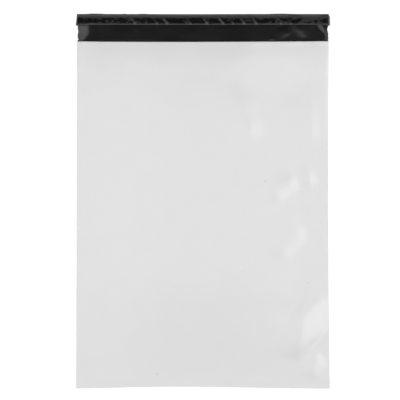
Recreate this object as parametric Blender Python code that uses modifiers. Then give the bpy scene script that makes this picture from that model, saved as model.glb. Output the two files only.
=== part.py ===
"""A poly mailer bag: one folded web of film, a band of hot-melt glue on its flap, and the liner over the glue.

Metres, +Z up. X runs across the bag and +Y towards the flap. The bag lies on its back panel on z = 0,
with the middle of its outline on the Z axis. The web is white outside and black inside. It is folded at the
bottom, welded along both sides by a hot knife and open at the mouth, and its back panel runs on as the flap.
The empty pocket is relaxed: the back lies flat and the front stands up off it in a low pillow.
"""

import math

import bmesh
import bpy
from mathutils import Matrix, Vector

# Film and pocket
FILM = 0.00006  # one ply of the web
POCKET_WIDTH = 0.400  # over the welds
POCKET_LENGTH = 0.550  # bottom fold to mouth
WELD_GAP = 0.0003  # between the two plies where the welds and the fold hold them

# Pillow of the front panel
CROWN = 0.012  # how high its middle stands over its edges
MOUTH_GAPE = 0.014  # the same at the mouth
BOTTOM_RUN = 0.110  # from the fold to where it reaches the crown
MOUTH_RUN = 0.045  # from the crown up to the mouth

# Edges that the relaxed film pulls in, at their middles
BOTTOM_BOW = 0.003
MOUTH_BOW = 0.0028
RIGHT_BOW = 0.0017
BOW_REACH = 0.090  # how far into the bag a pulled edge is felt

# Flap
FLAP_LENGTH = 0.044  # mouth to the web's edge
FLAP_INSET = 0.0004  # the knife shrinks a single ply back more than a weld
FLAP_INSET_RUN = 0.002  # past the mouth, where the welds end

# Glue band
GLUE_WIDTH = 0.0085
GLUE_THICKNESS = 0.0001
GLUE_SETBACK = 0.0066  # from the web's edge
GLUE_END_INSET = 0.0012  # from each side of the pocket

# Release liner
LINER_WIDTH = 0.0172
LINER_THICKNESS = 0.00005
LINER_SETBACK = 0.0003  # from the web's edge
LINER_OVERHANG = 0.0022  # past each side of the pocket
LINER_LEFT_SLANT = 0.0018  # its left end leans in this far towards the web's edge
LINER_CUT_X = 0.0021  # the cut corner at its upper right
LINER_CUT_Y = 0.0043

FIT_GAP = 0.0003  # between pieces that lie on each other

# Fineness of the film's mesh
COLUMNS = 24
ROWS = 32
ON_PLANE = 0.000001

# Places that follow from the sizes
BOTTOM_Y = -(POCKET_LENGTH + FLAP_LENGTH) / 2
MOUTH_Y = BOTTOM_Y + POCKET_LENGTH
EDGE_Y = MOUTH_Y + FLAP_LENGTH
HALF_WIDTH = POCKET_WIDTH / 2
FLOOR_Z = FILM  # the pocket's own floor, the back panel's inner face
GLUE_Z = FILM + FIT_GAP
LINER_Z = GLUE_Z + GLUE_THICKNESS + FIT_GAP


def clear_scene():
    for obj in list(bpy.data.objects):
        bpy.data.objects.remove(obj, do_unlink=True)


def linear(hex_colour):
    """An sRGB colour such as "e2e2e2" as linear RGBA."""
    channels = [int(hex_colour[i : i + 2], 16) / 255 for i in (0, 2, 4)]
    return [c / 12.92 if c <= 0.04045 else ((c + 0.055) / 1.055) ** 2.4 for c in channels] + [1]


def plastic(name, hex_colour, roughness):
    made = bpy.data.materials.new(name)
    made.use_nodes = True
    shader = made.node_tree.nodes["Principled BSDF"]
    shader.inputs["Base Color"].default_value = linear(hex_colour)
    shader.inputs["Roughness"].default_value = roughness
    shader.inputs["Metallic"].default_value = 0.0
    return made


def smooth_step(t):
    """0 below 0, 1 above 1, and level at both ends."""
    t = min(max(t, 0.0), 1.0)
    return t * t * (3 - 2 * t)


def hump(x):
    """1 on the bag's centre line and level to 0 at its sides."""
    across = min(abs(x) / HALF_WIDTH, 1.0)
    return 0.5 * (1 + math.cos(math.pi * across))


def lift(x, y):
    """How far the front panel stands over its welded edges."""
    height = CROWN * smooth_step((y - BOTTOM_Y) / BOTTOM_RUN)
    height += (MOUTH_GAPE - CROWN) * smooth_step(1 - (MOUTH_Y - y) / MOUTH_RUN)
    return height * hump(x)


def is_front(vertex):
    return vertex.co.z > FLOOR_Z + WELD_GAP / 2


def cut_into_rows(mesh, start, end, count, axis):
    """Cuts the mesh by count - 1 even planes across an axis."""
    for i in range(1, count):
        place = start + (end - start) * i / count
        bmesh.ops.bisect_plane(
            mesh,
            geom=mesh.verts[:] + mesh.edges[:] + mesh.faces[:],
            dist=ON_PLANE,
            plane_co=axis * place,
            plane_no=axis,
        )


def flat_pocket():
    """The pocket's inner face, pressed flat: a low box with its mouth end open."""
    mesh = bmesh.new()
    length = MOUTH_Y - BOTTOM_Y - FILM
    size = Vector((POCKET_WIDTH - 2 * FILM, length, WELD_GAP))
    middle = Vector((0, MOUTH_Y - length / 2, FLOOR_Z + WELD_GAP / 2))
    place = Matrix.Translation(middle) @ Matrix.Diagonal(size.to_4d())
    bmesh.ops.create_cube(mesh, size=1, matrix=place)
    cut_into_rows(mesh, -HALF_WIDTH, HALF_WIDTH, COLUMNS, Vector((1, 0, 0)))
    cut_into_rows(mesh, BOTTOM_Y, MOUTH_Y, ROWS, Vector((0, 1, 0)))
    mouth = [f for f in mesh.faces if f.calc_center_median().y > MOUTH_Y - ON_PLANE]
    bmesh.ops.delete(mesh, geom=mouth, context="FACES_ONLY")
    return mesh


def add_flap(mesh):
    """The back panel runs on past the mouth, first over the short shoulder at the end of each weld."""
    rim = [
        e
        for e in mesh.edges
        if e.is_boundary and all(v.co.y > MOUTH_Y - ON_PLANE and not is_front(v) for v in e.verts)
    ]
    for run, inset in ((FLAP_INSET_RUN, FLAP_INSET), (FLAP_LENGTH - FLAP_INSET_RUN, 0)):
        grown = bmesh.ops.extrude_edge_only(mesh, edges=rim)["geom"]
        for vertex in (g for g in grown if isinstance(g, bmesh.types.BMVert)):
            vertex.co.x *= 1 - inset / HALF_WIDTH
            vertex.co.y += run
        rim = [g for g in grown if isinstance(g, bmesh.types.BMEdge)]


def relax(mesh):
    """Raises the front panel and pulls in the edges as the empty bag's own curl does."""
    for vertex in mesh.verts:
        x, y, z = vertex.co
        if y > MOUTH_Y + ON_PLANE:
            continue
        along = (y - BOTTOM_Y) / POCKET_LENGTH
        near_bottom = smooth_step(1 - (y - BOTTOM_Y) / BOW_REACH)
        near_right = smooth_step(1 - (HALF_WIDTH - x) / BOW_REACH)
        near_mouth = smooth_step(1 - (MOUTH_Y - y) / BOW_REACH)
        vertex.co.x = x - RIGHT_BOW * near_right * 4 * along * (1 - along)
        vertex.co.y = y + BOTTOM_BOW * near_bottom * hump(x)
        if is_front(vertex):
            vertex.co.y -= MOUTH_BOW * near_mouth * hump(x)
            vertex.co.z = z + lift(x, y)


def add_object(name, data, parts, root):
    made = bpy.data.objects.new(name, data)
    parts.objects.link(made)
    made.parent = root
    return made


def make_bag(parts, root):
    mesh = flat_pocket()
    add_flap(mesh)
    relax(mesh)
    data = bpy.data.meshes.new("bag")
    mesh.to_mesh(data)
    mesh.free()
    data.materials.append(plastic("white_outer_film", "e2e2e2", 0.40))
    data.materials.append(plastic("black_inner_film", "1c1c1c", 0.35))
    bag = add_object("bag", data, parts, root)
    film = bag.modifiers.new("film thickness", "SOLIDIFY")
    film.thickness = FILM
    film.offset = 1
    film.use_even_offset = True
    film.use_quality_normals = True
    film.material_offset = 1


def make_glue_strip(parts, root):
    """A flat band of hot-melt glue along the flap, set back from the web's edge."""
    mesh = bmesh.new()
    length = POCKET_WIDTH - 2 * GLUE_END_INSET
    size = Vector((length, GLUE_WIDTH, GLUE_THICKNESS))
    bmesh.ops.create_cube(mesh, size=1, matrix=Matrix.Diagonal(size.to_4d()))
    data = bpy.data.meshes.new("glue_strip")
    mesh.to_mesh(data)
    mesh.free()
    data.materials.append(plastic("hot_melt_glue", "141414", 0.25))
    glue = add_object("glue_strip", data, parts, root)
    glue.location = (0, EDGE_Y - GLUE_SETBACK - GLUE_WIDTH / 2, GLUE_Z + GLUE_THICKNESS / 2)


def make_release_liner(parts, root):
    """A strip of thin film over the glue, longer than the bag is wide.

    Its left end was cut at a slant, and its upper right corner was cut off."""
    right = HALF_WIDTH + LINER_OVERHANG
    top = LINER_WIDTH / 2
    outline = [
        (-right, -top),
        (right, -top),
        (right, top - LINER_CUT_Y),
        (right - LINER_CUT_X, top),
        (LINER_LEFT_SLANT - right, top),
    ]
    data = bpy.data.curves.new("release_liner", "CURVE")
    data.dimensions = "2D"
    data.fill_mode = "BOTH"
    data.extrude = LINER_THICKNESS / 2
    spline = data.splines.new("POLY")
    spline.points.add(len(outline) - 1)
    for point, (x, y) in zip(spline.points, outline):
        point.co = (x, y, 0, 1)
    spline.use_cyclic_u = True
    data.materials.append(plastic("siliconed_liner_film", "4a4a4a", 0.20))
    liner = add_object("release_liner", data, parts, root)
    liner.location = (0, EDGE_Y - LINER_SETBACK - LINER_WIDTH / 2, LINER_Z + LINER_THICKNESS / 2)


def main():
    clear_scene()
    parts = bpy.data.collections.new("poly_mailer_bag")
    bpy.context.scene.collection.children.link(parts)
    root = bpy.data.objects.new("poly_mailer_bag_root", None)
    parts.objects.link(root)
    make_bag(parts, root)
    make_glue_strip(parts, root)
    make_release_liner(parts, root)


main()
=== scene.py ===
"""Dresses a poly mailer bag: the film's shape and its two sides, the glue band and the release liner.

Metres, +Z up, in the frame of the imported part. X runs across the bag and +Y towards the flap.
"""

import math
from typing import NamedTuple

import bpy
import numpy as np
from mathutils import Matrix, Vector


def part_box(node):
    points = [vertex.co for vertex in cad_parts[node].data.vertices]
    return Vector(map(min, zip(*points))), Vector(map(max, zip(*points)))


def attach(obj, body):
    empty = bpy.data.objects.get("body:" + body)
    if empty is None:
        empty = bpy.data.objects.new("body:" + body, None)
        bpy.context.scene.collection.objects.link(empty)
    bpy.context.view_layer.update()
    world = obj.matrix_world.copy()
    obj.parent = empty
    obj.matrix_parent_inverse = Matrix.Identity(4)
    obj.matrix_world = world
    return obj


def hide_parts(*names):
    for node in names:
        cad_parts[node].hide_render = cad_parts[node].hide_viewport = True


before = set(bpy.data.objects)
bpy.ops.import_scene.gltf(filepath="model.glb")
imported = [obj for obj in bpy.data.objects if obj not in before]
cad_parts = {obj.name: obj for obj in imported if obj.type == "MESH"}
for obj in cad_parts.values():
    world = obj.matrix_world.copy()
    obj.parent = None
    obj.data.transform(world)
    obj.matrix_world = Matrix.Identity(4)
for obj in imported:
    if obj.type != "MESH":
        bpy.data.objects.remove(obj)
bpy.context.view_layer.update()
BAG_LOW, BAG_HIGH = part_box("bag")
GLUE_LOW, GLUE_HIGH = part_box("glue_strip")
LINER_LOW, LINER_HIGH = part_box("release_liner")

bl_info = {
    "name": "Poly Mailer Bag",
    "version": (1, 0, 0),
    "blender": (4, 5, 0),
    "location": "3D View > Sidebar > Mailer",
    "description": "Builds the film, glue and liner of a poly mailer bag and the stage it lies on",
    "category": "Object",
}

MM = 0.001

# Sizes that the bag's pieces share
FILM = 0.06 * MM  # one ply
WELD_GAP = 0.3 * MM  # between the plies at the welds and the fold
FLAP_LENGTH = 44 * MM
HALF_WIDTH = BAG_HIGH.x
BOTTOM_Y = BAG_LOW.y
EDGE_Y = BAG_HIGH.y
MOUTH_Y = EDGE_Y - FLAP_LENGTH
FLOOR_Z = BAG_LOW.z + FILM

# Fineness of the grids
POCKET_COLUMNS = 142
POCKET_ROWS = 138
FLAP_ROWS = 52
LINER_COLUMNS = 420
LINER_ROWS = 24
GLUE_COLUMNS = 200
GLUE_ROWS = 8
SIDE_CROWDING = 0.5  # of the pocket's columns towards its sides
END_CROWDING = 0.25  # of its rows towards its mouth
EDGE_MARGIN = 0.4 * MM  # the first row or column lies this near an edge, so that its curve shades no more


class Fold(NamedTuple):
    """A soft ridge in the film between two points, in millimetres: its half widths on its left and right.

    It fades in around its start over twice the lead, a share of its length, and out around its end."""

    start: tuple
    end: tuple
    left: float
    right: float
    height: float
    lead: float = 0.25


class Facet(NamedTuple):
    """A flat slope up from the right weld, which bends down past each border: its two ends and its bend.

    The borders run so that the slope lies on their left. The ends are in millimetres, and the slope and
    the bends are rise over run."""

    slope: float
    borders: tuple


class Waves(NamedTuple):
    """Sine waves that run every way: the seed that turns them, their number, and their two end lengths."""

    seed: int
    count: int
    longest: float
    shortest: float


# In the values below, a ramp is given by its start and its run

# Soft ridges that handling left in the front panel, mostly near its right weld
FRONT_FOLDS = (
    Fold((50, 158), (75, 98), 22, 45, 1.9, 1.6),
    Fold((170, 146), (170, 98), 17, 40, 1.2, 1.6),
    Fold((165, 47), (169, 25), 11, 14, 1.05, 0.9),
    Fold((109, 9), (147, 31), 18, 12, 1.27),
    Fold((117, -86), (157, -50), 24, 13, 1.03),
    Fold((124, -188), (127, -238), 13, 30, 1.3),
    Fold((165, -275), (181, -245), 13, 15, 1.7),
    Fold((189, 60), (189, -100), 1.5, 1.5, 0.05),
)

# Places where the front panel stands off the right weld in a crumpled slope
FRONT_FACETS = (
    Facet(
        0.105,
        (
            ((200, -150), (157, -184), 0.12),
            ((157, -184), (153, -222), 0.14),
            ((152, -227), (200, -201), 0.14),
            ((147, -218), (179, -242), 0.07),
        ),
    ),
)
FACET_ROUNDING = 4 * MM  # half the width over which a border bends
FACET_BLEND = 0.3 * MM  # and the height over which a facet meets the pillow

# The front panel between its welds
FRONT_WAVES = Waves(3, 9, 160 * MM, 22 * MM)
HELD_RUN = 5 * MM  # from a weld or the fold to where folds and waves stand free
RISE_RUN = 3 * MM  # and to where the pillow does
BOTTOM_CREST = -46 * MM  # X of the crest of the bottom fold's bow
BOTTOM_LEFT_REACH = 176 * MM  # from there to where the bow ends on its left
MOUTH_BOW_POWER = 0.65  # widens the mouth's bow

# The front panel's lip: it turns down at the mouth, but curls up and ripples at its right end
DROOP = 0.7 * MM
DROOP_RUN = 43 * MM
RIGHT_CURL = 0.15 * MM
CURL_RAMP = (20 * MM, 120 * MM)  # across, from the droop to the curl
LIP_RUN = 9 * MM  # how far from the mouth the curl and the ripples are felt
MOUTH_RIPPLES = Waves(8, 5, 26 * MM, 9 * MM)
RIPPLE = 0.8 * MM
RIPPLE_RAMP = (50 * MM, 40 * MM)  # across
RIPPLE_SQUEEZE = 0.3  # the share of Y in them, which draws them out along the bag

# The flap's level, hump, waves and buckles
FELT_RUN = 220 * MM  # how far down the back panel they are felt
FLAP_HUMP = 0.9 * MM  # how high the flap stands off the table at the mouth
FLAP_WAVES = Waves(5, 7, 70 * MM, 18 * MM)
FLAP_WAVE = 0.12 * MM
LINER_HOLD = 3.5 * MM  # from the liner's lower edge to where it keeps the flap straight

# The flap's left end bends down to the table from its level. The crease is straight below the liner, curves
# out towards the weld above the mouth, and leaves the bag below it.
LEFT_LEVEL = 1.55 * MM
LEFT_RAMP = (30 * MM, 150 * MM)  # out from the centre line
LEFT_SLOPE = 0.077
LEFT_STEEPER = 0.3  # half of what the slope gains with each metre in from the weld
LEFT_ROUNDING = 0.28 * MM
CURVE_OUT, CURVE_RUN = 9 * MM, 12 * MM
LEAVE_OUT, LEAVE_RUN = 14 * MM, 5 * MM

# Its right end drops a little from a level of its own. The crease leaves the liner aslant and then runs
# down beside the cut edge, where the slope is less.
RIGHT_LEVEL = 1.2 * MM
RIGHT_RAMP = (-10 * MM, 90 * MM)  # across
RIGHT_FADE = (-90 * MM, 75 * MM)  # along, from the mouth
RIGHT_SLOPE = 0.09
SLOPE_LOSS = 0.22
LOSS_RAMP = (10 * MM, 6 * MM)  # down from the liner
RIGHT_DROP = 0.85 * MM
DROP_ROUNDING = 0.3 * MM
CREASE_START, CREASE_END = 181 * MM, 194.3 * MM  # its X at the liner and beside the edge
CREASE_LEAN = 0.87
CREASE_ROUNDING = 1.5 * MM

# Buckles in the flap, mostly in its right end, where nothing holds the single ply down
FLAP_FOLDS = (
    Fold((-110, 284), (-106, 270), 3, 3, 0.1),
    Fold((107, 256.5), (113, 258), 2, 2, 0.15),
    Fold((160, 265), (165, 261), 2.5, 2.5, 0.06),
    Fold((128, 273), (134, 263), 7, 10, 0.18),
    Fold((142, 290), (162, 267), 8, 9, 0.41),
)

# Where the web's cut edge stands out past the liner: the middle, half length and depth, in millimetres
EDGE_SLIVERS = ((-171, 12, 0.6), (-125, 3, 0.3), (-95, 7, 0.4), (124, 18, 0.5))

# The hot knife shrank the flap's single ply back more than a weld, and bit into its sides: the middle, half
# length and depth of each bite, in millimetres
LEFT_INSET, RIGHT_INSET = 0.5 * MM, 0.25 * MM
INSET_RUN = 2 * MM  # past the mouth
LEFT_BITES = ((268.8, 3.0, 0.9), (256.4, 1.4, 1.5))
RIGHT_BITES = ((272.2, 4.5, 1.5), (262.5, 1.5, 0.35), (255.0, 2.0, 0.3))

# Specks and gels caught in the white side, and one painted highlight, in millimetres, with their tone over
# the film's own
# the last, lighter than the film, is a painted highlight: the glint of a small dimple
SPECKS_AND_GLINT = ((98.4, 29.9, 0.88), (166.2, -130.9, 0.88), (-72.5, -274.2, 0.86), (59.3, -105.4, 1.07))
SPECK_AND_GLINT_RADIUS = 1.9 * MM

# Diagonal wrinkles in the liner over the glue: the middle of each in millimetres, and its strength
LINER_WRINKLES = (
    (-110, 1.0),
    (-75, 0.5),
    (-59, 1.0),
    (-22, 0.6),
    (5, 0.9),
    (30, 1.0),
    (46, 0.5),
    (64, 0.9),
    (83, 0.9),
    (123, 0.7),
    (138, 0.4),
)
WRINKLE_HALF_WIDTH = 2 * MM
WRINKLE_LEAN = 0.85  # to the right for each metre down
WRINKLE_RAMP = (3 * MM, 4 * MM)  # down from the liner's upper edge

# How the liner lies
LINER_WAVES = Waves(21, 7, 60 * MM, 9 * MM)
LINER_WAVE = 0.05 * MM
LINER_CURL_RUN = 6 * MM  # from its upper edge
LINER_CURL_END = (196 * MM, 14 * MM)  # X where the curl has ended, and the run before it
LINER_SAG = 1.4 * MM  # how far its lower edge hangs at both ends
LEFT_SAG_RAMP, RIGHT_SAG_RAMP = (178 * MM, 10 * MM), (194 * MM, 6 * MM)  # out from the centre line
END_SHARE = 0.05  # of the half width, over which the slant and the cut corner are felt
BACKLIT_BLEND = 0.8 * MM  # over which its tone changes to a painted lightness, the white table's light seen through it, where it runs past the film at the right

# The pressed glue's mark under the liner
GLUE_SHIFT = 0.3 * MM  # below the band
GLUE_SHOULDER, GLUE_END_SHOULDER = 1.6 * MM, 2 * MM  # runs of its soft edges
SHOULDER_OUTSIDE = 0.75  # the share of a shoulder outside the edge
SMALL_GAPS, LARGE_GAPS = (4.5 * MM, 2.6 * MM, 31), (9 * MM, 4 * MM, 32)  # blotches: width, height and seed
SMALL_SHARE = 0.6  # of the small gaps in the pattern
GAP_LEVEL = 0.34  # blotches below this level don't touch
LOOSE_LEVEL = 0.33  # by which it is higher in the loose stretch
GAP_SHARPNESS = 5
LOOSE_FROM, LOOSE_TO, LOOSE_RUN = 153 * MM, 190 * MM, 8 * MM  # a stretch that hardly touches, and its ends
GAP_WETNESS = 0.25  # what a gap still shows of the glue
RAGGED = 1.6 * MM  # how far the mark's long edges wander
RAGGED_BLOTCHES = (5 * MM, 9 * MM, 33)
MOTTLE_ROWS, MOTTLE_COLUMNS = 64, 256  # random values before the blotches repeat


def smooth_step(t):
    """0 below 0, 1 above 1, and the cubic 3tt - 2ttt between."""
    t = np.clip(t, 0.0, 1.0)
    return t * t * (3 - 2 * t)


def ramp(value, start, run):
    """A smooth step from 0 at the start to 1 after the run."""
    return smooth_step((value - start) / run)


def soft_maximum(a, b, rounding):
    """The larger of two heights, rounded where they cross by the hyperbola between them."""
    return 0.5 * (a + b + np.sqrt((a - b) ** 2 + rounding**2))


def soft_minimum(a, b, rounding):
    """The smaller of two heights, rounded in the same way."""
    return -soft_maximum(-a, -b, rounding)


def bell(distance, half_width):
    """A bell curve: the exponential of minus the square of the distance over the half width."""
    return np.exp(-((distance / half_width) ** 2))


def hump(x):
    """One wave of a cosine across the bag: 1 on its centre line, level to 0 at its sides."""
    across = np.clip(np.abs(x) / HALF_WIDTH, 0.0, 1.0)
    return 0.5 * (1 + np.cos(np.pi * across))


def fold_height(x, y, fold):
    """A bell curve across the segment from start to end, wider on one side, and faded at both ends."""
    start, end = np.array(fold.start) * MM, np.array(fold.end) * MM
    length = np.hypot(*(end - start))
    way = (end - start) / length
    along = ((x - start[0]) * way[0] + (y - start[1]) * way[1]) / length
    across = (y - start[1]) * way[0] - (x - start[0]) * way[1]
    width = np.where(across > 0, fold.left, fold.right) * MM
    fade = smooth_step((along + fold.lead) / (2 * fold.lead)) * smooth_step((1.25 - along) / 0.5)
    return fold.height * MM * fade * bell(across, width)


def facet_height(x, y, facet):
    """The slope up from the right weld, less each border's bend times the rounded distance past it."""
    height = facet.slope * (HALF_WIDTH - x)
    for start, end, bend in facet.borders:
        start, end = np.array(start) * MM, np.array(end) * MM
        way = (end - start) / np.hypot(*(end - start))
        past = (x - start[0]) * way[1] - (y - start[1]) * way[0]
        height = height - bend * soft_maximum(past, 0, FACET_ROUNDING)
    return height


def film_waves(x, y, waves, height):
    """A sum of sine waves that run every way, each as high as its length's share of the longest."""
    draw = np.random.default_rng(waves.seed)
    total = np.zeros(np.broadcast(x, y).shape)
    for wavelength in np.geomspace(waves.longest, waves.shortest, waves.count):
        turn, phase = draw.uniform(0, np.pi), draw.uniform(0, 2 * np.pi)
        run = x * np.cos(turn) + y * np.sin(turn)
        total += np.sin(2 * np.pi * run / wavelength + phase) * wavelength / waves.longest
    return height * total / waves.count


def set_geometry(name, points, quads, smooth=True):
    """A mesh object from an array of points and an array of quads, put into the mesh as whole arrays."""
    mesh = bpy.data.meshes.new(name)
    mesh.from_pydata(points.reshape(-1, 3), [], quads.reshape(-1, 4))
    mesh.polygons.foreach_set("use_smooth", np.full(len(mesh.polygons), smooth))
    mesh.update()
    made = bpy.data.objects.new(name, mesh)
    bpy.context.scene.collection.objects.link(made)
    return made


def grid_quads(rows, columns, first=0, flip=False):
    """The quads of a grid of points stored row by row, turned over if flip is set."""
    index = first + np.arange(rows * columns).reshape(rows, columns)
    corners = [index[:-1, :-1], index[:-1, 1:], index[1:, 1:], index[1:, :-1]]
    quads = np.stack(corners, axis=-1).reshape(-1, 4)
    return quads[:, ::-1] if flip else quads


def strip_quads(one, other):
    """The quads between two rows of point numbers."""
    return np.stack([one[:-1], one[1:], other[1:], other[:-1]], axis=-1)


def thicken(piece, thickness, offset, material_offset=0):
    """A wall of even thickness on an open surface."""
    wall = piece.modifiers.new("thickness", "SOLIDIFY")
    wall.thickness = thickness
    wall.offset = offset
    wall.use_even_offset = True
    wall.material_offset = material_offset


# Materials

# Sizes of the surfaces' own grain. Real die lines and orange peel are finer than the picture can show, so
# both are drawn coarser.
CLOUD = 35 * MM  # thicker and thinner places in the film
DIE_LINE, DIE_LINE_LENGTH = 1.2 * MM, 350 * MM
FILM_PEEL = 1.5 * MM  # about 0.5 mm on the real film
FILM_GRAIN = 0.006 * MM  # height of the peel and the die lines
LINER_PEEL = 1.2 * MM
LINER_GRAIN = 0.004 * MM  # height
GLUE_RIPPLE = 6 * MM
GLUE_GRAIN = 0.1 * MM  # height
ROUGHNESS_SPREAD = 0.02  # either way, with the clouds
SPECK_AND_GLINT_CORE = 0.4  # the share of a speck's or the painted highlight's radius that has its full tone
FILM_IOR, LINER_IOR, GLUE_IOR = 1.51, 1.5, 1.48
LINER_ROUGHNESS, GLUE_ROUGHNESS = 0.12, 0.2


def linear(hex_colour):
    """An sRGB colour such as "e2e2e2" as linear RGBA."""
    channels = np.array([int(hex_colour[i : i + 2], 16) / 255 for i in (0, 2, 4)])
    made = np.where(channels <= 0.04045, channels / 12.92, ((channels + 0.055) / 1.055) ** 2.4)
    return (*made.tolist(), 1.0)


def add(tree, kind, inputs=None, **settings):
    """One shader node with its settings. An input is a number, a colour or another node's output."""
    made = tree.nodes.new(kind)
    for key, value in settings.items():
        setattr(made, key, value)
    for key, value in (inputs or {}).items():
        if isinstance(value, bpy.types.NodeSocket):
            tree.links.new(value, made.inputs[key])
        else:
            made.inputs[key].default_value = value
    return made


def empty_material(name):
    """A material with only its output node, and that node's tree."""
    made = bpy.data.materials.new(name)
    made.use_nodes = True
    made.node_tree.nodes.clear()
    return made, made.node_tree, add(made.node_tree, "ShaderNodeOutputMaterial")


def finish_material(tree, output, shader):
    tree.links.new(shader, output.inputs["Surface"])


def add_specks_and_glint(tree, place, colour):
    """The film's colour with each speck's own tone, and the painted highlight's lighter tone, inside its
    soft-edged disc.
    """
    for x, y, tone in SPECKS_AND_GLINT:
        middle = add(tree, "ShaderNodeCombineXYZ", {"X": x * MM, "Y": y * MM})
        flat = add(tree, "ShaderNodeVectorMath", {0: place, 1: (1, 1, 0)}, operation="MULTIPLY")
        distance = add(
            tree,
            "ShaderNodeVectorMath",
            {0: flat.outputs[0], 1: middle.outputs[0]},
            operation="DISTANCE",
        )
        fade = add(
            tree,
            "ShaderNodeMapRange",
            {
                "Value": distance.outputs["Value"],
                "From Min": SPECK_AND_GLINT_CORE * SPECK_AND_GLINT_RADIUS,
                "From Max": SPECK_AND_GLINT_RADIUS,
                "To Min": tone,
                "To Max": 1.0,
            },
        )
        toned = add(
            tree,
            "ShaderNodeVectorMath",
            {0: colour, "Scale": fade.outputs["Result"]},
            operation="SCALE",
        )
        colour = toned.outputs[0]
    return colour


def blown_film(name, colour, shade, roughness, has_specks_and_glint):
    """Blown co-extruded LDPE: an even satin plastic with faint cloudiness from the melt, fine grain, and
    die lines that run across the bag, the way the web ran through the machine."""
    made, tree, output = empty_material(name)
    place = add(tree, "ShaderNodeTexCoord").outputs["Object"]
    clouds = add(tree, "ShaderNodeTexNoise", {"Vector": place, "Scale": 1 / CLOUD, "Detail": 3.0})
    tone = add(
        tree,
        "ShaderNodeMix",
        {"Factor": clouds.outputs["Fac"], "A": linear(shade), "B": linear(colour)},
        data_type="RGBA",
    )
    base = tone.outputs["Result"]
    stretched = add(
        tree,
        "ShaderNodeMapping",
        {"Vector": place, "Scale": (1 / DIE_LINE_LENGTH, 1 / DIE_LINE, 1.0)},
    )
    lines = add(tree, "ShaderNodeTexNoise", {"Vector": stretched.outputs[0], "Scale": 1.0, "Detail": 2.0})
    peel = add(tree, "ShaderNodeTexNoise", {"Vector": place, "Scale": 1 / FILM_PEEL, "Detail": 2.0})
    relief = add(
        tree,
        "ShaderNodeMath",
        {0: lines.outputs["Fac"], 1: peel.outputs["Fac"]},
        operation="ADD",
    )
    bump = add(
        tree,
        "ShaderNodeBump",
        {"Height": relief.outputs[0], "Strength": 1.0, "Distance": FILM_GRAIN},
    )
    gloss = add(
        tree,
        "ShaderNodeMapRange",
        {
            "Value": clouds.outputs["Fac"],
            "To Min": roughness - ROUGHNESS_SPREAD,
            "To Max": roughness + ROUGHNESS_SPREAD,
        },
    )
    shader = add(
        tree,
        "ShaderNodeBsdfPrincipled",
        {
            # specks and gels on the white side, with one painted highlight among them
            "Base Color": add_specks_and_glint(tree, place, base) if has_specks_and_glint else base,
            "Roughness": gloss.outputs["Result"],
            "IOR": FILM_IOR,
            "Normal": bump.outputs["Normal"],
        },
    )
    finish_material(tree, output, shader.outputs[0])
    return made


def siliconed_film(name, colour, wet_colour, backlit_colour):
    """Thin dark-tinted release film, siliconed on one side: hazy where air lies under it, and black and
    clear where the glue has wetted it, as the wetting attribute says. Where no film backs it, as its other
    attribute says, it is painted lighter, for the white table's light seen through it."""
    made, tree, output = empty_material(name)
    wet = add(tree, "ShaderNodeAttribute", attribute_name="wetting").outputs["Fac"]
    backlit = add(tree, "ShaderNodeAttribute", attribute_name="backlit").outputs["Fac"]
    tone = add(
        tree,
        "ShaderNodeMix",
        {"Factor": wet, "A": linear(colour), "B": linear(wet_colour)},
        data_type="RGBA",
    )
    backed = add(
        tree,
        "ShaderNodeMix",
        {"Factor": backlit, "A": tone.outputs["Result"], "B": linear(backlit_colour)},
        data_type="RGBA",
    )
    place = add(tree, "ShaderNodeTexCoord").outputs["Object"]
    peel = add(tree, "ShaderNodeTexNoise", {"Vector": place, "Scale": 1 / LINER_PEEL, "Detail": 2.0})
    bump = add(
        tree,
        "ShaderNodeBump",
        {"Height": peel.outputs["Fac"], "Strength": 1.0, "Distance": LINER_GRAIN},
    )
    shader = add(
        tree,
        "ShaderNodeBsdfPrincipled",
        {
            "Base Color": backed.outputs["Result"],
            "Roughness": LINER_ROUGHNESS,
            "IOR": LINER_IOR,
            "Normal": bump.outputs["Normal"],
        },
    )
    finish_material(tree, output, shader.outputs[0])
    return made


def hot_melt(name, colour):
    """Hot-melt glue laid hot from a slot nozzle: wet-looking, with slow ripples."""
    made, tree, output = empty_material(name)
    place = add(tree, "ShaderNodeTexCoord").outputs["Object"]
    ripples = add(tree, "ShaderNodeTexNoise", {"Vector": place, "Scale": 1 / GLUE_RIPPLE, "Detail": 1.0})
    bump = add(
        tree,
        "ShaderNodeBump",
        {"Height": ripples.outputs["Fac"], "Strength": 1.0, "Distance": GLUE_GRAIN},
    )
    shader = add(
        tree,
        "ShaderNodeBsdfPrincipled",
        {
            "Base Color": linear(colour),
            "Roughness": GLUE_ROUGHNESS,
            "IOR": GLUE_IOR,
            "Normal": bump.outputs["Normal"],
        },
    )
    finish_material(tree, output, shader.outputs[0])
    return made


# The web's shape


def felt_from_flap(y):
    """1 on the flap, and a smooth step down to 0 along the back panel."""
    return smooth_step((y - MOUTH_Y) / FELT_RUN + 1)


def under_liner(y):
    """0 up to the liner's lower edge, and a smooth step up to 1 where it keeps the flap straight."""
    return ramp(y, LINER_LOW.y, LINER_HOLD)


def left_end(x, y):
    """The flap's slow rise to its left end's level, or the slope up from the table where that is lower."""
    from_mouth = y - MOUTH_Y
    level = LEFT_LEVEL * ramp(-x, *LEFT_RAMP)
    curve = CURVE_OUT * smooth_step(1 - from_mouth / CURVE_RUN)
    curve = curve + LEAVE_OUT * smooth_step(-from_mouth / LEAVE_RUN)
    inset = x + HALF_WIDTH + curve
    bent = soft_minimum(level, LEFT_SLOPE * inset + LEFT_STEEPER * inset**2, LEFT_ROUNDING)
    return (bent * (1 - under_liner(y)) + level * under_liner(y)) * felt_from_flap(y)


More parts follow.
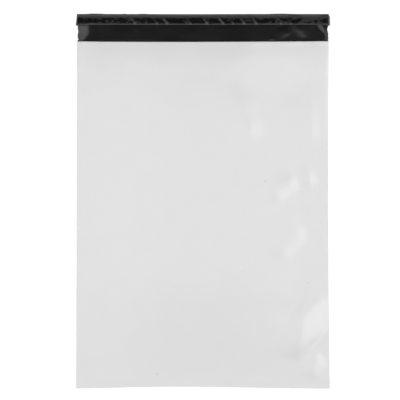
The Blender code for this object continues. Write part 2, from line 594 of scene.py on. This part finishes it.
def right_end(x, y):
    """The flap's rise to its right end's level, less the slope times the distance past the crease."""
    level = RIGHT_LEVEL * ramp(x, *RIGHT_RAMP) * ramp(y - MOUTH_Y, *RIGHT_FADE)
    below_liner = LINER_LOW.y - y
    crease = soft_minimum(CREASE_START + CREASE_LEAN * below_liner, CREASE_END, CREASE_ROUNDING)
    slope = RIGHT_SLOPE * (1 - SLOPE_LOSS * ramp(below_liner, *LOSS_RAMP))
    drop = soft_minimum(slope * soft_maximum(x - crease, 0, CREASE_ROUNDING), RIGHT_DROP, DROP_ROUNDING)
    return level - drop * (1 - under_liner(y))


def back_height(x, y):
    """The back panel and the flap: flat, plus the flap's own shape where it is felt."""
    height = sum(fold_height(x, y, fold) for fold in FLAP_FOLDS)
    height = height + film_waves(x, y, FLAP_WAVES, FLAP_WAVE)
    height = height + FLAP_HUMP * np.clip(1 - (y - MOUTH_Y) / FLAP_LENGTH, 0, 1)
    ends = left_end(x, y) + right_end(x, y)
    return FLOOR_Z + np.maximum(height * felt_from_flap(y) + ends, 0.0)


def mouth_lip(x, y):
    """The droop and the right end's curl, each as the square of the way into it, and the ripples."""
    from_mouth = MOUTH_Y - y
    to_right = ramp(x, *CURL_RAMP)
    curl = RIGHT_CURL * to_right * np.clip(1 - from_mouth / LIP_RUN, 0, 1) ** 2
    droop = DROOP * (1 - to_right) * np.clip(1 - from_mouth / DROOP_RUN, 0, 1) ** 2
    ripples = film_waves(x, y * RIPPLE_SQUEEZE, MOUTH_RIPPLES, RIPPLE) * ramp(x, *RIPPLE_RAMP)
    return curl - droop + ripples * smooth_step(1 - from_mouth / LIP_RUN)


def front_height(x, y, bag):
    """The relaxed pillow over the back panel, with its folds, waves, lip and facets.

    The pillow is a smooth step from the fold up to the crown and one on to the gape, times the hump."""
    rise = bag.crown * smooth_step((y - BOTTOM_Y) / bag.bottom_run)
    rise = rise + (bag.gape - bag.crown) * smooth_step(1 - (MOUTH_Y - y) / bag.mouth_run)
    from_weld = np.minimum(HALF_WIDTH - np.abs(x), y - BOTTOM_Y)
    detail = sum(fold_height(x, y, fold) for fold in FRONT_FOLDS)
    detail = detail + film_waves(x, y, FRONT_WAVES, bag.wave) + mouth_lip(x, y)
    height = rise * hump(x) + detail * smooth_step(from_weld / HELD_RUN)
    for facet in FRONT_FACETS:
        height = soft_maximum(height, facet_height(x, y, facet), FACET_BLEND)
    return back_height(x, y) + WELD_GAP + np.maximum(height, 0.0) * smooth_step(from_weld / RISE_RUN)


def bottom_hump(x):
    """The fold's own bow: a cosine wave like the hump's, with its crest left of the middle."""
    reach = np.where(x < BOTTOM_CREST, BOTTOM_LEFT_REACH, HALF_WIDTH - BOTTOM_CREST)
    return 0.5 * (1 + np.cos(np.pi * np.clip(np.abs(x - BOTTOM_CREST) / reach, 0.0, 1.0)))


def bowed(x, y, bag, is_front):
    """Pulls the edges in at their middles, as the relaxed film does, by an even fade into the bag.

    The front panel's cut edge also runs a little askew, further up at its right end."""
    along = np.clip((y - BOTTOM_Y) / (MOUTH_Y - BOTTOM_Y), 0, 1)
    near_bottom = smooth_step(1 - (y - BOTTOM_Y) / bag.bow_reach)
    near_right = smooth_step(1 - (HALF_WIDTH - x) / bag.bow_reach)
    near_mouth = smooth_step(1 - (MOUTH_Y - y) / bag.bow_reach) * is_front
    slant = bag.mouth_slant * x / HALF_WIDTH
    bowed_x = x - bag.right_bow * near_right * 4 * along * (1 - along)
    bowed_y = y + bag.bottom_bow * near_bottom * bottom_hump(x)
    bowed_y = bowed_y + near_mouth * (slant - bag.mouth_bow * hump(x) ** MOUTH_BOW_POWER)
    return bowed_x, bowed_y


def knife_edge(y, inset, bites, share):
    """How far the cut side stands in from the weld's line: an even inset and a bell curve for each bite."""
    bitten = sum(depth * MM * bell(y / MM - middle, half) for middle, half, depth in bites)
    return inset * ramp(y, MOUTH_Y, INSET_RUN) + share * bitten


def edge_sliver(x):
    """How far the web's cut edge stands out past its line: a flat-topped bell curve for each sliver."""
    total = 0
    for middle, half, depth in EDGE_SLIVERS:
        total = total + depth * MM * np.exp(-(((x / MM - middle) / half) ** 4))
    return total


def crowded(count, crowding):
    """Steps from 0 to 1, closer together towards 1: even ones mixed with the sines of even angles."""
    even = np.linspace(0, 1, count + 1)
    return (1 - crowding) * even + crowding * np.sin(even * np.pi / 2)


def web_points(bag):
    """The front and the back of the web as two grids of points, on the pocket's inner side.

    Both run up from the bottom fold, and the back runs on to the end of the flap between its cut sides."""
    half = HALF_WIDTH - FILM
    side = crowded(POCKET_COLUMNS // 2, SIDE_CROWDING) * (half - EDGE_MARGIN)
    across = np.concatenate([[-half], -side[:0:-1], side, [half]])
    first = BOTTOM_Y + FILM
    pocket = first + EDGE_MARGIN + crowded(POCKET_ROWS, END_CROWDING) * (MOUTH_Y - first - EDGE_MARGIN)
    front_y = np.concatenate([[first], pocket])
    flap_y = np.linspace(MOUTH_Y, EDGE_Y, FLAP_ROWS + 1)[1:]
    grids = []
    for is_front, rows in ((True, front_y), (False, np.concatenate([front_y, flap_y]))):
        flat_x, flat_y = np.meshgrid(across, rows)
        x, y = bowed(flat_x, flat_y, bag, is_front)
        z = front_height(flat_x, flat_y, bag) if is_front else back_height(flat_x, flat_y)
        grids.append(np.stack([x, y, z], axis=-1))
    front, back = grids
    flap = back[len(front_y) :]
    left = knife_edge(flap_y, LEFT_INSET, LEFT_BITES, bag.bites)[:, None]
    right = knife_edge(flap_y, RIGHT_INSET, RIGHT_BITES, bag.bites)[:, None]
    to_right = flap[:, :, 0] / (2 * HALF_WIDTH) + 0.5
    flap[:, :, 0] += left * (1 - to_right) - right * to_right
    flap[-1, :, 1] += edge_sliver(flap[-1, :, 0])
    return front, back


def build_web(bag):
    """The pocket and its flap: two grids, joined by the fold's strip and by the welds' strips."""
    front, back = web_points(bag)
    columns = front.shape[1]
    front_index = np.arange(front.shape[0] * columns).reshape(-1, columns)
    back_index = front_index[-1, -1] + 1 + np.arange(back.shape[0] * columns).reshape(-1, columns)
    pocket_back = back_index[: len(front)]
    quads = [
        grid_quads(front.shape[0], columns),
        grid_quads(back.shape[0], columns, back_index[0, 0], flip=True),
        strip_quads(pocket_back[0], front_index[0]),
        strip_quads(front_index[:, 0], pocket_back[:, 0])[:, ::-1],
        strip_quads(pocket_back[:, -1], front_index[:, -1]),
    ]
    points = np.concatenate([front.reshape(-1, 3), back.reshape(-1, 3)])
    return set_geometry("film_bag", points, np.concatenate(quads))


# Glue and liner


def mottle(x, y, cell_x, cell_y, seed):
    """Uneven blotches from 0 to 1: a random value for each cell's corner, joined by smooth steps."""
    across, up = x / cell_x, y / cell_y
    column, row = np.floor(across).astype(int), np.floor(up).astype(int)
    values = np.random.default_rng(seed).random((MOTTLE_ROWS, MOTTLE_COLUMNS))
    columns = (column % MOTTLE_COLUMNS, (column + 1) % MOTTLE_COLUMNS)
    right, top = smooth_step(across - column), smooth_step(up - row)
    low, high = (
        values[line, columns[0]] * (1 - right) + values[line, columns[1]] * right
        for line in (row % MOTTLE_ROWS, (row + 1) % MOTTLE_ROWS)
    )
    return low * (1 - top) + high * top


def glue_bulge(x, y):
    """1 over the glue's mark and 0 beside it: smooth steps in from its long edges and from its ends."""
    inside = np.minimum(y - GLUE_LOW.y + GLUE_SHIFT, GLUE_HIGH.y - GLUE_SHIFT - y)
    ends = np.minimum(x - GLUE_LOW.x, GLUE_HIGH.x - x)
    within = smooth_step(inside / GLUE_SHOULDER + SHOULDER_OUTSIDE)
    return within * smooth_step(ends / GLUE_END_SHOULDER + SHOULDER_OUTSIDE)


def liner_wrinkles(x, y):
    """Ridges that run down to the right across the glue band, each a bell curve across its own line."""
    middle = (GLUE_LOW.y + GLUE_HIGH.y) / 2
    total = 0
    for place, strength in LINER_WRINKLES:
        off_line = x - place * MM + (y - middle) * WRINKLE_LEAN
        total = total + strength * bell(off_line, WRINKLE_HALF_WIDTH)
    return total


def liner_points(liner):
    """The liner's underside: the flap's height, plus the glue and its wrinkles, inside the cut outline."""
    x, y = np.meshgrid(
        np.linspace(LINER_LOW.x, LINER_HIGH.x, LINER_COLUMNS + 1),
        np.linspace(LINER_LOW.y, LINER_HIGH.y, LINER_ROWS + 1),
    )
    up = (y - LINER_LOW.y) / (LINER_HIGH.y - LINER_LOW.y)
    from_top = LINER_HIGH.y - y
    at_left, at_right = (smooth_step((side / HALF_WIDTH - 1) / END_SHARE + 1) for side in (-x, x))
    slant = liner.left_slant * up * at_left
    cut = liner.cut_x * np.clip(1 - from_top / liner.cut_y, 0, 1) * at_right
    sag = LINER_SAG * np.maximum(ramp(-x, *LEFT_SAG_RAMP), ramp(x, *RIGHT_SAG_RAMP))
    z = back_height(np.clip(x, -HALF_WIDTH, HALF_WIDTH), np.maximum(y, LINER_LOW.y + LINER_HOLD))
    z = z + (LINER_LOW.z - BAG_LOW.z - FILM) + liner.glue_height * glue_bulge(x, y)
    z = z + liner.wrinkle * liner_wrinkles(x, y) * ramp(from_top, *WRINKLE_RAMP)
    z = z + film_waves(x, y, LINER_WAVES, LINER_WAVE)
    curl_end, curl_run = LINER_CURL_END
    curl = liner.curl * np.clip(1 - from_top / LINER_CURL_RUN, 0, 1) ** 2
    z = z + curl * smooth_step((curl_end - x) / curl_run)
    return np.stack([x + slant - cut, y - sag * (1 - up), z], axis=-1)


def wetting(points):
    """How much of the glue touches the liner: all but its wrinkles, small gaps and one loose stretch."""
    x, y = points[..., 0], points[..., 1]
    blotches = SMALL_SHARE * mottle(x, y, *SMALL_GAPS) + (1 - SMALL_SHARE) * mottle(x, y, *LARGE_GAPS)
    loose = ramp(x, LOOSE_FROM, LOOSE_RUN) * smooth_step((LOOSE_TO - x) / LOOSE_RUN)
    spread = smooth_step(0.5 + (blotches - GAP_LEVEL - LOOSE_LEVEL * loose) * GAP_SHARPNESS)
    pressed = spread * (1 - np.clip(liner_wrinkles(x, y), 0, 1))
    touch = GAP_WETNESS + (1 - GAP_WETNESS) * pressed
    ragged = RAGGED * (mottle(x, y, *RAGGED_BLOTCHES) - 0.5)
    return np.clip(glue_bulge(x, y + ragged) * touch, 0, 1)


# What a user may change


class MailerBagSizes(bpy.types.PropertyGroup):
    """How the empty bag lies."""

    crown: bpy.props.FloatProperty(
        name="Crown", description="Height of the front panel's middle", default=10 * MM, unit="LENGTH"
    )
    gape: bpy.props.FloatProperty(
        name="Gape", description="Height of the mouth's middle", default=10.2 * MM, unit="LENGTH"
    )
    bottom_run: bpy.props.FloatProperty(
        name="Bottom run", description="From the fold to the crown", default=180 * MM, unit="LENGTH"
    )
    mouth_run: bpy.props.FloatProperty(
        name="Mouth run", description="From the crown to the mouth", default=120 * MM, unit="LENGTH"
    )
    bottom_bow: bpy.props.FloatProperty(
        name="Bottom bow",
        description="How far the fold's middle is pulled in",
        default=3 * MM,
        unit="LENGTH",
    )
    mouth_bow: bpy.props.FloatProperty(
        name="Mouth bow",
        description="How far the mouth's middle is pulled in",
        default=2.4 * MM,
        unit="LENGTH",
    )
    mouth_slant: bpy.props.FloatProperty(
        name="Mouth slant",
        description="How far up the mouth's right end lies",
        default=0.2 * MM,
        unit="LENGTH",
    )
    right_bow: bpy.props.FloatProperty(
        name="Right bow", description="How far the right weld is pulled in", default=1.7 * MM, unit="LENGTH"
    )
    bow_reach: bpy.props.FloatProperty(
        name="Bow reach", description="How far into the bag a bow is felt", default=90 * MM, unit="LENGTH"
    )
    wave: bpy.props.FloatProperty(
        name="Waves", description="Height of the film's own waves", default=0.7 * MM, unit="LENGTH"
    )
    bites: bpy.props.FloatProperty(
        name="Bites", description="Share of the depth of the knife's bites", default=1.0, subtype="FACTOR"
    )


class MailerLinerSizes(bpy.types.PropertyGroup):
    """How the liner was cut and how it lies on the glue."""

    left_slant: bpy.props.FloatProperty(
        name="Left slant", description="How far its left end leans in", default=1.8 * MM, unit="LENGTH"
    )
    cut_x: bpy.props.FloatProperty(
        name="Corner cut, X", description="Width of the cut corner", default=2.1 * MM, unit="LENGTH"
    )
    cut_y: bpy.props.FloatProperty(
        name="Corner cut, Y", description="Height of the cut corner", default=4.3 * MM, unit="LENGTH"
    )
    glue_height: bpy.props.FloatProperty(
        name="Glue", description="How far the glue lifts the liner", default=0.02 * MM, unit="LENGTH"
    )
    curl: bpy.props.FloatProperty(
        name="Curl", description="How far its upper edge turns up", default=0.2 * MM, unit="LENGTH"
    )
    wrinkle: bpy.props.FloatProperty(
        name="Wrinkles", description="Height of the diagonal wrinkles", default=0.2 * MM, unit="LENGTH"
    )


class MailerLook(bpy.types.PropertyGroup):
    """Colours, as sRGB hex, and how matt the film is."""

    outer: bpy.props.StringProperty(name="Outside", description="The film's white side", default="dddddd")
    outer_shade: bpy.props.StringProperty(
        name="Outside shade", description="The white side's thinner clouds", default="d9d9d9"
    )
    inner: bpy.props.StringProperty(name="Inside", description="The film's black side", default="0e0e0e")
    inner_shade: bpy.props.StringProperty(
        name="Inside shade", description="The black side's clouds", default="0c0c0c"
    )
    liner: bpy.props.StringProperty(name="Liner", description="The liner over air", default="363636")
    wet_liner: bpy.props.StringProperty(
        name="Wet liner", description="The liner over glue", default="080808"
    )
    # a painted lightness: the white table's light seen through the liner's end
    backlit_liner: bpy.props.StringProperty(
        name="Bare liner", description="The liner where it runs past the film", default="565656"
    )
    glue: bpy.props.StringProperty(name="Glue", description="The hot-melt glue", default="141414")
    roughness: bpy.props.FloatProperty(
        name="Roughness", description="The film's roughness", default=0.15, subtype="FACTOR"
    )


class MailerStageLook(bpy.types.PropertyGroup):
    """The light and the camera."""

    left_power: bpy.props.FloatProperty(
        name="Left", description="Power of the left lamp", default=25.5, subtype="POWER"
    )
    right_power: bpy.props.FloatProperty(
        name="Right", description="Power of the right lamp", default=23.0, subtype="POWER"
    )
    sheen_power: bpy.props.FloatProperty(
        name="Strips",
        description="Power of each high strip lamp, which draws the film's sheen",
        default=8.9,
        subtype="POWER",
    )
    lens: bpy.props.FloatProperty(
        name="Lens",
        description="The camera's focal length in millimetres",
        default=100.0,
        subtype="DISTANCE_CAMERA",
    )
    elevation: bpy.props.FloatProperty(
        name="Elevation",
        description="The camera's height over the horizon",
        default=math.radians(88.3),
        subtype="ANGLE",
    )


# Operators


class MAILER_OT_film_bag(bpy.types.Operator):
    """Build the folded and welded web of white and black film"""

    bl_idname = "mailer.film_bag"
    bl_label = "Film Bag"

    def execute(self, context):
        bag, look = context.scene.mailer_bag, context.scene.mailer_look
        web = build_web(bag)
        sides = (
            ("blown LDPE film, white side", look.outer, look.outer_shade, True),
            ("blown LDPE film, black side", look.inner, look.inner_shade, False),
        )
        for name, colour, shade, has_specks_and_glint in sides:
            web.data.materials.append(blown_film(name, colour, shade, look.roughness, has_specks_and_glint))
        thicken(web, FILM, 1, material_offset=1)
        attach(web, "root")
        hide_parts("bag")
        return {"FINISHED"}


class MAILER_OT_glue_band(bpy.types.Operator):
    """Lay the hot-melt glue band along the flap"""

    bl_idname = "mailer.glue_band"
    bl_label = "Glue Band"

    def execute(self, context):
        x, y = np.meshgrid(
            np.linspace(GLUE_LOW.x, GLUE_HIGH.x, GLUE_COLUMNS + 1),
            np.linspace(GLUE_LOW.y, GLUE_HIGH.y, GLUE_ROWS + 1),
        )
        points = np.stack([x, y, back_height(x, y) + (GLUE_LOW.z - BAG_LOW.z - FILM)], axis=-1)
        band = set_geometry("glue_band", points, grid_quads(GLUE_ROWS + 1, GLUE_COLUMNS + 1))
        band.data.materials.append(hot_melt("hot-melt glue", context.scene.mailer_look.glue))
        thicken(band, GLUE_HIGH.z - GLUE_LOW.z, 1)
        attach(band, "root")
        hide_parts("glue_strip")
        return {"FINISHED"}


class MAILER_OT_release_liner(bpy.types.Operator):
    """Lay the release liner over the glue"""

    bl_idname = "mailer.release_liner"
    bl_label = "Release Liner"

    def execute(self, context):
        look = context.scene.mailer_look
        points = liner_points(context.scene.mailer_liner)
        strip = set_geometry("liner_strip", points, grid_quads(LINER_ROWS + 1, LINER_COLUMNS + 1))
        # painted lighter past the film's right end, for the table's light seen through the liner
        backlit = smooth_step((points[..., 0] - HALF_WIDTH) / BACKLIT_BLEND + 0.5)
        for name, values in (("wetting", wetting(points)), ("backlit", backlit)):
            strip.data.attributes.new(name, "FLOAT", "POINT").data.foreach_set("value", values.ravel())
        release = siliconed_film("siliconed release film", look.liner, look.wet_liner, look.backlit_liner)
        strip.data.materials.append(release)
        thicken(strip, LINER_HIGH.z - LINER_LOW.z, 1)
        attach(strip, "root")
        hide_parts("release_liner")
        return {"FINISHED"}


# Stage

FLOOR_HALF = 6.0
FLOOR_DROP = 0.2 * MM  # keeps the floor off the bag's own underside
TABLE, SEEN_TABLE = "e6e6e6", "b0b0b0"  # what lights the bag, and what is seen under the glow
TABLE_GLOW = 0.68

# Strengths of the studio, and where they change, as Y or Z of the way from the bag, whose length is 1
WALLS, OVERHEAD = 0.8, 0.05  # of the walls, and of the dim part higher up
WALLS_END, OVERHEAD_START = 0.4, 0.8  # Z
PANEL = 2.0  # of the ceiling panel
PANEL_FULL, PANEL_END = 0.127, 0.17  # Y, where it fades on the flap's side
PANEL_NEAR, PANEL_FAR = -0.02, -0.28  # Y, between which it weakens on the other side
PANEL_FAR_SHARE = 0.6  # what is left of it there
RIM_START, RIM_FULL = 0.85, 0.95  # Z, where its rim fades

LAMP_SIZE = 1.6
LAMP_X, LAMP_Y, LAMP_Z = 2.9, 0.6, 2.5
STRIP_WIDTH, STRIP_LENGTH = 0.5, 2.6
STRIP_X, STRIP_Z = 0.97, 2.2

VIEW_CENTRE = Vector((-4.6 * MM, 0.6 * MM, 0.0))
CAMERA_DISTANCE = 1.7622
SENSOR_WIDTH = 36.0  # millimetres


def floor_material():
    """A matt table that the camera and the film's sheen see as white, still darker in the bag's shade."""
    made, tree, output = empty_material("white table")
    ray = add(tree, "ShaderNodeLightPath")
    shown = ray.outputs["Is Camera Ray"]
    for kind in ("Is Glossy Ray", "Is Transmission Ray"):
        either = add(tree, "ShaderNodeMath", {0: shown, 1: ray.outputs[kind]}, operation="MAXIMUM")
        shown = either.outputs[0]
    plain = add(tree, "ShaderNodeBsdfDiffuse", {"Color": linear(TABLE)})
    shaded = add(tree, "ShaderNodeBsdfDiffuse", {"Color": linear(SEEN_TABLE)})
    glow = add(tree, "ShaderNodeEmission", {"Color": (1, 1, 1, 1), "Strength": TABLE_GLOW})
    lifted = add(tree, "ShaderNodeAddShader", {0: shaded.outputs[0], 1: glow.outputs[0]})
    mixed = add(
        tree,
        "ShaderNodeMixShader",
        {0: shown, 1: plain.outputs[0], 2: lifted.outputs[0]},
    )
    finish_material(tree, output, mixed.outputs[0])
    return made


def make_world():
    """A studio that is white near the horizon and dim higher up, with a soft ceiling panel overhead.

    The panel ends 7 to 10 degrees past the zenith on the flap's side, so that the flap shows only the
    dim part."""
    world = bpy.data.worlds.new("studio")
    world.use_nodes = True
    tree = world.node_tree
    tree.nodes.clear()
    place = add(tree, "ShaderNodeTexCoord").outputs["Generated"]
    way = add(tree, "ShaderNodeSeparateXYZ", {0: place})
    walls = add(
        tree,
        "ShaderNodeMapRange",
        {
            "Value": way.outputs["Z"],
            "From Min": WALLS_END,
            "From Max": OVERHEAD_START,
            "To Min": WALLS,
            "To Max": OVERHEAD,
        },
        interpolation_type="SMOOTHSTEP",
    )
    panel_end = add(
        tree,
        "ShaderNodeMapRange",
        {
            "Value": way.outputs["Y"],
            "From Min": PANEL_FULL,
            "From Max": PANEL_END,
            "To Min": PANEL,
            "To Max": 0.0,
        },
        interpolation_type="SMOOTHSTEP",
    )
    panel_fall = add(
        tree,
        "ShaderNodeMapRange",
        {
            "Value": way.outputs["Y"],
            "From Min": PANEL_FAR,
            "From Max": PANEL_NEAR,
            "To Min": PANEL_FAR_SHARE,
            "To Max": 1.0,
        },
    )
    panel_rim = add(
        tree,
        "ShaderNodeMapRange",
        {"Value": way.outputs["Z"], "From Min": RIM_START, "From Max": RIM_FULL},
        interpolation_type="SMOOTHSTEP",
    )
    panel = panel_end.outputs["Result"]
    for share in (panel_fall, panel_rim):
        lit = add(tree, "ShaderNodeMath", {0: panel, 1: share.outputs["Result"]}, operation="MULTIPLY")
        panel = lit.outputs[0]
    level = add(tree, "ShaderNodeMath", {0: walls.outputs["Result"], 1: panel}, operation="ADD")
    sky = add(tree, "ShaderNodeBackground", {"Color": (1, 1, 1, 1), "Strength": level.outputs[0]})
    output = add(tree, "ShaderNodeOutputWorld", {"Surface": sky.outputs[0]})
    output.is_active_output = True
    bpy.context.scene.world = world


def aim(thing, place, target):
    thing.location = place
    thing.rotation_euler = (Vector(target) - Vector(place)).to_track_quat("-Z", "Y").to_euler()


def add_lamp(name, power, width, length, place):
    """A soft rectangular lamp that faces the middle of the bag. Its length runs level, and its width up."""
    lamp = bpy.data.lights.new(name, "AREA")
    lamp.shape = "RECTANGLE"
    lamp.size = length
    lamp.size_y = width
    lamp.energy = power
    made = bpy.data.objects.new(name, lamp)
    bpy.context.scene.collection.objects.link(made)
    aim(made, place, (0, 0, 0))


class MAILER_OT_stage(bpy.types.Operator):
    """Set up the white table, the soft studio light and the camera over the bag"""

    bl_idname = "mailer.stage"
    bl_label = "Stage"

    def execute(self, context):
        scene, look = context.scene, context.scene.mailer_stage
        scene.view_settings.view_transform = "Standard"
        half, z = FLOOR_HALF, BAG_LOW.z - FLOOR_DROP
        corners = np.array([[-half, -half, z], [half, -half, z], [half, half, z], [-half, half, z]])
        floor = set_geometry("table", corners, np.arange(4), smooth=False)
        floor.data.materials.append(floor_material())
        make_world()
        add_lamp("left lamp", look.left_power, LAMP_SIZE, LAMP_SIZE, (-LAMP_X, LAMP_Y, LAMP_Z))
        add_lamp("right lamp", look.right_power, LAMP_SIZE, LAMP_SIZE, (LAMP_X, LAMP_Y, LAMP_Z))
        add_lamp("left strip lamp", look.sheen_power, STRIP_WIDTH, STRIP_LENGTH, (-STRIP_X, 0, STRIP_Z))
        add_lamp("right strip lamp", look.sheen_power, STRIP_WIDTH, STRIP_LENGTH, (STRIP_X, 0, STRIP_Z))
        camera = bpy.data.cameras.new("camera")
        camera.lens = look.lens
        camera.sensor_width = SENSOR_WIDTH
        made = bpy.data.objects.new("camera", camera)
        scene.collection.objects.link(made)
        back = Vector((0, -math.cos(look.elevation), math.sin(look.elevation)))
        aim(made, VIEW_CENTRE + back * CAMERA_DISTANCE, VIEW_CENTRE)
        scene.camera = made
        return {"FINISHED"}


class MAILER_PT_panel(bpy.types.Panel):
    """Lists the bag's operators and its values"""

    bl_idname = "MAILER_PT_panel"
    bl_label = "Poly Mailer Bag"
    bl_space_type = "VIEW_3D"
    bl_region_type = "UI"
    bl_category = "Mailer"

    def draw(self, context):
        layout = self.layout
        for operator in OPERATORS:
            layout.operator(operator.bl_idname)
        for group in GROUPS:
            box = layout.box()
            for key in GROUPS[group].__annotations__:
                box.prop(getattr(context.scene, group), key)


GROUPS = {
    "mailer_bag": MailerBagSizes,
    "mailer_liner": MailerLinerSizes,
    "mailer_look": MailerLook,
    "mailer_stage": MailerStageLook,
}
OPERATORS = (MAILER_OT_film_bag, MAILER_OT_glue_band, MAILER_OT_release_liner, MAILER_OT_stage)


def register():
    for made in (*GROUPS.values(), *OPERATORS, MAILER_PT_panel):
        bpy.utils.register_class(made)
    for name, group in GROUPS.items():
        setattr(bpy.types.Scene, name, bpy.props.PointerProperty(type=group))


def unregister():
    for name in GROUPS:
        delattr(bpy.types.Scene, name)
    for made in reversed((*GROUPS.values(), *OPERATORS, MAILER_PT_panel)):
        bpy.utils.unregister_class(made)


def main():
    """Builds the pieces and the stage."""
    register()
    bpy.ops.mailer.film_bag()
    bpy.ops.mailer.glue_band()
    bpy.ops.mailer.release_liner()
    bpy.ops.mailer.stage()


if __name__ == "__main__":
    main()
